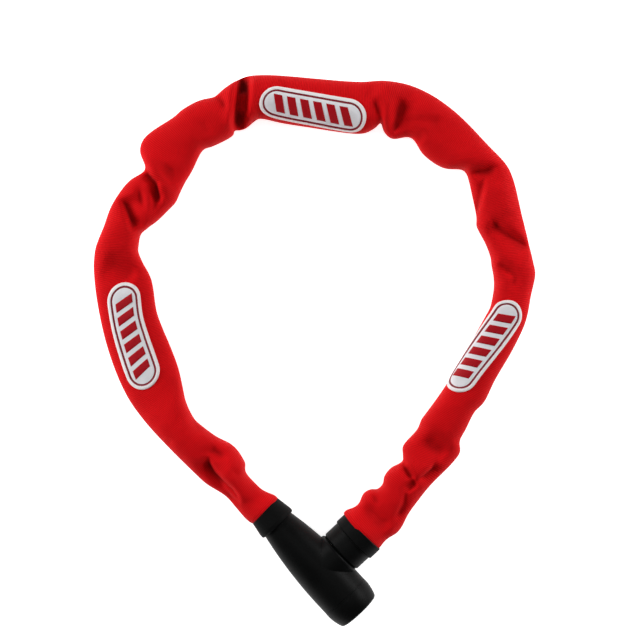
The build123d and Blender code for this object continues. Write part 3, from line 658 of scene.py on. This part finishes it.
# ---------------------------------------------------------------- meshes
def shell_mesh(name, outside, inside, normals, uv_grid, hollow, material):
    """A tube piece with thickness: outer and inner grid and two rims. Normals follow the whole sleeve."""
    rows, columns = outside.shape[:2]
    count = rows * columns
    points = np.concatenate([outside.reshape(-1, 3), inside.reshape(-1, 3)]) * MM
    row, column = np.meshgrid(np.arange(rows - 1), np.arange(columns), indexing="ij")
    row, column = row.ravel(), column.ravel()
    beside = (column + 1) % columns
    a, b = row * columns + column, row * columns + beside
    c, d = (row + 1) * columns + beside, (row + 1) * columns + column
    outer_faces = np.stack([a, b, c, d], 1)
    inner_faces = outer_faces[:, ::-1] + count
    ring = np.arange(columns)
    following = (ring + 1) % columns
    last = (rows - 1) * columns
    first_rim = np.stack([ring, ring + count, following + count, following], 1)
    last_rim = np.stack([ring + last, following + last, following + last + count, ring + last + count], 1)
    faces = np.concatenate([outer_faces, inner_faces, first_rim, last_rim])
    mesh = bpy.data.meshes.new(name)
    mesh.from_pydata(points.tolist(), [], faces.tolist())
    mesh.materials.append(material)
    layer = mesh.uv_layers.new(name="cloth")
    along_mm, around_mm = uv_grid
    column_of = np.concatenate([np.stack([column, column + 1, column + 1, column], 1),
                                np.stack([column, column + 1, column + 1, column], 1)[:, ::-1],
                                np.stack([ring, ring, ring + 1, ring + 1], 1),
                                np.stack([ring, ring + 1, ring + 1, ring], 1)])
    row_of = np.concatenate([np.stack([row, row, row + 1, row + 1], 1),
                             np.stack([row, row, row + 1, row + 1], 1)[:, ::-1],
                             np.zeros((columns, 4), int), np.full((columns, 4), rows - 1)])
    uv = np.stack([along_mm[row_of.ravel()], around_mm[row_of.ravel(), column_of.ravel()]], 1)
    layer.data.foreach_set("uv", uv.astype(np.float32).ravel())
    # Painted shade: each point's depth in a fold, which darkens the cloth's colour.
    mesh.attributes.new("hollow", "FLOAT", "POINT").data.foreach_set(
        "value", np.tile(hollow.ravel(), 2).astype(np.float32))
    mesh.update()
    mesh.shade_smooth()
    both = np.concatenate([normals.reshape(-1, 3), -normals.reshape(-1, 3)])
    mesh.normals_split_custom_set_from_vertices(both.tolist())
    piece = bpy.data.objects.new(name, mesh)
    bpy.context.scene.collection.objects.link(piece)
    return piece


def joint_place(name):
    return np.array(joints[name]["pos_m"]) / MM


def nearest_section(middle, place):
    return int(np.argmin(np.linalg.norm(middle[:, :2] - place[:2], axis=1)))


def build_sleeve(grid, reached):
    """One piece of sleeve over every hinge, from the middle of one length to the middle of the next."""
    normals = grid_normals(grid)
    inside = grid - normals * CLOTH
    # Painted shade for the folds, from how far each place lies below its surroundings.
    hollow = painted_fold_shade_amounts(grid, normals)
    middle = grid.mean(axis=1)
    around = np.linalg.norm(np.diff(np.concatenate([grid, grid[:, :1]], 1), axis=1), axis=2)
    around = np.concatenate([np.zeros((len(grid), 1)), np.cumsum(around, 1)], 1)
    around = around / around[:, -1:] * SLEEVE_ROUND
    places = [joint_place(name) for name in HINGES]
    cuts = [nearest_section(middle, (places[k] + places[k + 1]) / 2) for k in range(13)]
    cuts[0] = int(np.searchsorted(reached, INTO_CUFF + FIRST_PIECE))
    limits = [0] + cuts + [len(grid) - 1]
    pieces = []
    for number in range(14):
        rows = slice(limits[number], limits[number + 1] + 1)
        piece = shell_mesh(f"sleeve_cloth_{number + 1:02d}", grid[rows], inside[rows], normals[rows],
                           (reached[rows], around[rows]), hollow[rows], SLEEVE)
        if number == 0:
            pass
        elif number == 13:
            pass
        else:
            heading = middle[limits[number + 1]] - middle[limits[number]]
            heading /= np.linalg.norm(heading)
        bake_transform(piece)
        pieces.append(piece)
    for number in range(1, 14):
        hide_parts(f"sleeve_{number:02d}")
    return pieces


# ---------------------------------------------------------------- sewn labels
# label: name, body, middle on the ground, direction of its long way, length and width
PATCHES = [
    ("patch_left", "length_03", (-118.3, 9.1), (-17.9, 66.9), 70.0, 22.5),
    ("patch_top", "length_07", (-1.0, 155.0), (65.0, -10.3), 70.0, 22.5),
    ("patch_right", "length_11", (108.6, 3.2), (28.6, 43.6), 70.0, 22.5),
]


class Surface:
    """Places on the sleeve's grid by section number and by point number round the section."""

    def __init__(self, grid, normals):
        self.grid, self.normals = grid, normals

    def at(self, table, row, column):
        row = np.clip(row, 0, len(table) - 1.001)
        column = np.mod(column, AROUND)
        r, c = np.floor(row).astype(int), np.floor(column).astype(int)
        fr, fc = (row - r)[:, None], (column - c)[:, None]
        c2 = (c + 1) % AROUND
        c = c % AROUND
        upper = table[r, c] * (1 - fc) + table[r, c2] * fc
        lower = table[r + 1, c] * (1 - fc) + table[r + 1, c2] * fc
        return upper * (1 - fr) + lower * fr

    def seat(self, centre, heading):
        """The grid place over a point of the ground, and how the grid's two ways lie there."""
        top = self.grid[:, 1:AROUND // 2]
        away = np.linalg.norm(top[:, :, :2] - np.array(centre), axis=2)
        row, column = np.unravel_index(np.argmin(away), away.shape)
        column += 1
        ahead = (self.grid[row + 20, column] - self.grid[row - 20, column]) / 40
        beside = (self.grid[row, column + 4] - self.grid[row, column - 4]) / 8
        heading = np.array(heading) / np.linalg.norm(heading)
        turn = math.atan2(heading @ (beside[:2] / np.linalg.norm(beside[:2])),
                          heading @ (ahead[:2] / np.linalg.norm(ahead[:2])))
        return row, column, np.linalg.norm(ahead), np.linalg.norm(beside), turn

    def wrap(self, seat, a, b, raised):
        """Points a along and b across a label seated on the sleeve, raised above the cloth."""
        row, column, ahead, beside, turn = seat
        along_mm = a * math.cos(turn) - b * math.sin(turn)
        across_mm = a * math.sin(turn) + b * math.cos(turn)
        rows, columns = row + along_mm / ahead, column + across_mm / beside
        point = self.at(self.grid, rows, columns)
        normal = self.at(self.normals, rows, columns)
        normal /= np.linalg.norm(normal, axis=1, keepdims=True)
        return point + normal * np.asarray(raised)[:, None]


# Distances from a label's edge of the rings it is made of, close together at the border and the dark line
RING_DEPTHS = [0, 0.15, 0.4, 0.8, 1.3, 1.8, 2.3, 2.7, 2.95, 3.1, 3.25, 3.4, 3.6, 3.9, 4.5, 5.5, 7.0, 8.5]
MERGED = 0.00002  # metres: a label's points nearer to each other than this become one


def edge_height(depth):
    """How high the label stands at a distance from its edge: bulged white border, groove, flat field."""
    border = 0.25 + 0.75 * np.sqrt(np.clip(1 - ((depth - 1.5) / 1.5) ** 2, 0, 1))
    field = 0.55 + 0.12 * ease((depth - 3.7) / 0.8)
    out = np.where(depth < 3.0, border, field)
    groove = 0.25 * np.exp(-(((depth - 3.2) / 0.35) ** 2))
    return out - groove


def label_mesh(name, surface, seat, length, width, material):
    """A stadium-shaped label of rings inside one another, closed underneath."""
    radius = width / 2
    straight = length - width
    depths = RING_DEPTHS + [radius]
    spots = along_stadium(straight, radius, 52, 40)
    turns = len(spots)
    points, uvs, faces = [], [], []
    for depth in depths:
        share = (radius - depth) / radius
        a = spots[:, 0] + spots[:, 2] * share
        b = spots[:, 3] * share
        points.append(surface.wrap(seat, a, b, edge_height(np.full(turns, float(depth)))))
        uvs.append(np.stack([np.full(turns, float(depth)), spots[:, 4]], 1))
    bottom = surface.wrap(seat, spots[:, 0] + spots[:, 2], spots[:, 3], np.full(turns, -0.3))
    centre_line = surface.wrap(seat, spots[:, 0], spots[:, 3] * 0, np.full(turns, -0.3))
    rings = points[::-1] + [bottom, centre_line]
    uvs = uvs[::-1] + [uvs[0], uvs[-1]]
    for ring in range(len(rings) - 1):
        for spot in range(turns):
            following = (spot + 1) % turns
            faces.append([ring * turns + spot, (ring + 1) * turns + spot,
                          (ring + 1) * turns + following, ring * turns + following])
    mesh = bpy.data.meshes.new(name)
    mesh.from_pydata((np.concatenate(rings) * MM).tolist(), [], faces)
    mesh.materials.append(material)
    layer = mesh.uv_layers.new(name="label")
    all_uv = np.concatenate(uvs)
    loops = np.array([index for face in faces for index in face])
    layer.data.foreach_set("uv", all_uv[loops].astype(np.float32).ravel())
    return finish_label(name, mesh)


def along_stadium(straight, radius, straight_steps, arc_steps):
    """Spots round a stadium: the middle of the arc, the way out from it, and the distance gone.
    Both sides have their spots at the same places, so that they meet on the middle line."""
    arc = math.pi * radius
    out = []
    for side, turned in ((1, 0.0), (-1, math.pi)):
        before = 0 if side > 0 else straight + arc
        for step in range(straight_steps):
            gone = step / straight_steps * straight
            out.append((side * (gone - straight / 2), 0, 0, side * radius, before + gone))
        for step in range(arc_steps):
            angle = math.pi / 2 - turned - math.pi * step / arc_steps
            out.append((side * straight / 2, 0, radius * math.cos(angle), radius * math.sin(angle),
                        before + straight + arc * step / arc_steps))
    return np.array(out)


def finish_label(name, mesh):
    """Merges doubled points, turns faces outwards and shades smoothly."""
    work = bmesh.new()
    work.from_mesh(mesh)
    bmesh.ops.remove_doubles(work, verts=work.verts, dist=MERGED)
    bmesh.ops.dissolve_degenerate(work, edges=work.edges, dist=MERGED)
    bmesh.ops.recalc_face_normals(work, faces=work.faces)
    work.to_mesh(mesh)
    work.free()
    mesh.update()
    mesh.shade_smooth()
    piece = bpy.data.objects.new(name, mesh)
    bpy.context.scene.collection.objects.link(piece)
    return piece


def stripe_mesh(name, surface, seat, length, width):
    """The label's plain motif: a row of slanted bars of thread, each a low cushion."""
    tall, wide, slant, count = width * 0.5, 5.6, 2.2, 6
    reach = length / 2 - width * 0.46
    across, up = 7, 15
    points, uvs, faces = [], [], []
    for bar in range(count):
        centre = -reach + wide / 2 + (2 * reach - wide) * bar / (count - 1)
        base = len(points)
        a_list, b_list, h_list = [], [], []
        for layer_height in (1, 0):
            for row in range(up):
                for column in range(across):
                    t, s = row / (up - 1) - 0.5, column / (across - 1) - 0.5
                    rim = min(1 - abs(2 * s), 1 - abs(2 * t))
                    crown = 0.78 + 0.35 * math.sqrt(min(1, rim * 2.2))
                    a_list.append(centre + s * wide + t * 2 * slant)
                    b_list.append(t * tall)
                    h_list.append(crown if layer_height else 0.3)
                    uvs.append((s * wide, t * tall))
        layer = surface.wrap(seat, np.array(a_list), np.array(b_list), np.array(h_list))
        points.extend(layer.tolist())
        half = up * across
        for row in range(up - 1):
            for column in range(across - 1):
                corner = base + row * across + column
                top = [corner, corner + 1, corner + across + 1, corner + across]
                faces.append(top)
                faces.append([index + half for index in top[::-1]])
        border = [base + c for c in range(across)]
        border += [base + r * across + across - 1 for r in range(1, up)]
        border += [base + (up - 1) * across + c for c in range(across - 2, -1, -1)]
        border += [base + r * across for r in range(up - 2, 0, -1)]
        for here, there in zip(border, border[1:] + border[:1]):
            faces.append([there, here, here + half, there + half])
    mesh = bpy.data.meshes.new(name)
    mesh.from_pydata((np.array(points) * MM).tolist(), [], faces)
    mesh.materials.append(STRIPE)
    layer = mesh.uv_layers.new(name="label")
    uv = np.array(uvs)[np.array([index for face in faces for index in face])]
    layer.data.foreach_set("uv", uv.astype(np.float32).ravel())
    return finish_label(name, mesh)


def build_labels(grid):
    surface = Surface(grid, grid_normals(grid))
    for name, body, centre, heading, length, width in PATCHES:
        seat = surface.seat(centre, heading)
        label = label_mesh(name + "_label", surface, seat, length, width, PATCH)
        stripes = stripe_mesh(name + "_stripes", surface, seat, length, width)
        for piece in (label, stripes):
            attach(piece, body)
        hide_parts(name)


# ---------------------------------------------------------------- floor, light and camera
VIEW_MIDDLE = Vector((3.55, 20.1, 12.0)) * MM
VIEW_WIDTH = 416 * MM
VIEW_DISTANCE = 1.2


def build_stage():
    mesh = bpy.data.meshes.new("floor")
    mesh.from_pydata([(-3, -3, 0), (3, -3, 0), (3, 3, 0), (-3, 3, 0)], [], [(0, 1, 2, 3)])
    floor = bpy.data.objects.new("floor", mesh)
    bpy.context.scene.collection.objects.link(floor)
    material, _, shader = new_material("floor_white", 0.9, Specular_IOR_Level=0.1, Emission_Strength=0.85)
    shader.inputs["Base Color"].default_value = (0.93, 0.93, 0.93, 1)
    shader.inputs["Emission Color"].default_value = (1, 1, 1, 1)
    mesh.materials.append(material)


def area_light(name, place, size, power):
    light = bpy.data.lights.new(name, "AREA")
    light.shape = "RECTANGLE"
    light.size, light.size_y = size
    light.energy = power
    lamp = bpy.data.objects.new(name, light)
    lamp.location = place
    lamp.rotation_euler = (VIEW_MIDDLE - Vector(place)).to_track_quat("-Z", "Y").to_euler()
    bpy.context.scene.collection.objects.link(lamp)


def build_lights():
    area_light("left_softbox", (-1.1, 0.35, 0.55), (0.7, 0.5), 12.6)
    area_light("right_softbox", (1.1, 0.45, 0.55), (0.7, 0.5), 10.5)
    area_light("overhead", (0.0, 0.25, 1.9), (1.2, 0.9), 4)
    world = bpy.data.worlds.new("studio")
    world.use_nodes = True
    world.node_tree.nodes["Background"].inputs["Color"].default_value = (1, 1, 1, 1)
    world.node_tree.nodes["Background"].inputs["Strength"].default_value = 0.14
    bpy.context.scene.world = world


def build_camera():
    camera = bpy.data.cameras.new("camera")
    camera.sensor_width = 36
    camera.lens = 36 * VIEW_DISTANCE / VIEW_WIDTH
    eye = bpy.data.objects.new("camera", camera)
    eye.location = VIEW_MIDDLE + Vector((0, 0, VIEW_DISTANCE))
    bpy.context.scene.collection.objects.link(eye)
    bpy.context.scene.camera = eye


dress_cad_nodes()
CHAIN_TOPS = chain_tops()
sleeve_grid, sleeve_reached = build_grid()
cloth_pieces = build_sleeve(sleeve_grid, sleeve_reached)
build_labels(sleeve_grid)
build_stage()
build_lights()
build_camera()
bpy.context.scene.view_settings.view_transform = "Standard"
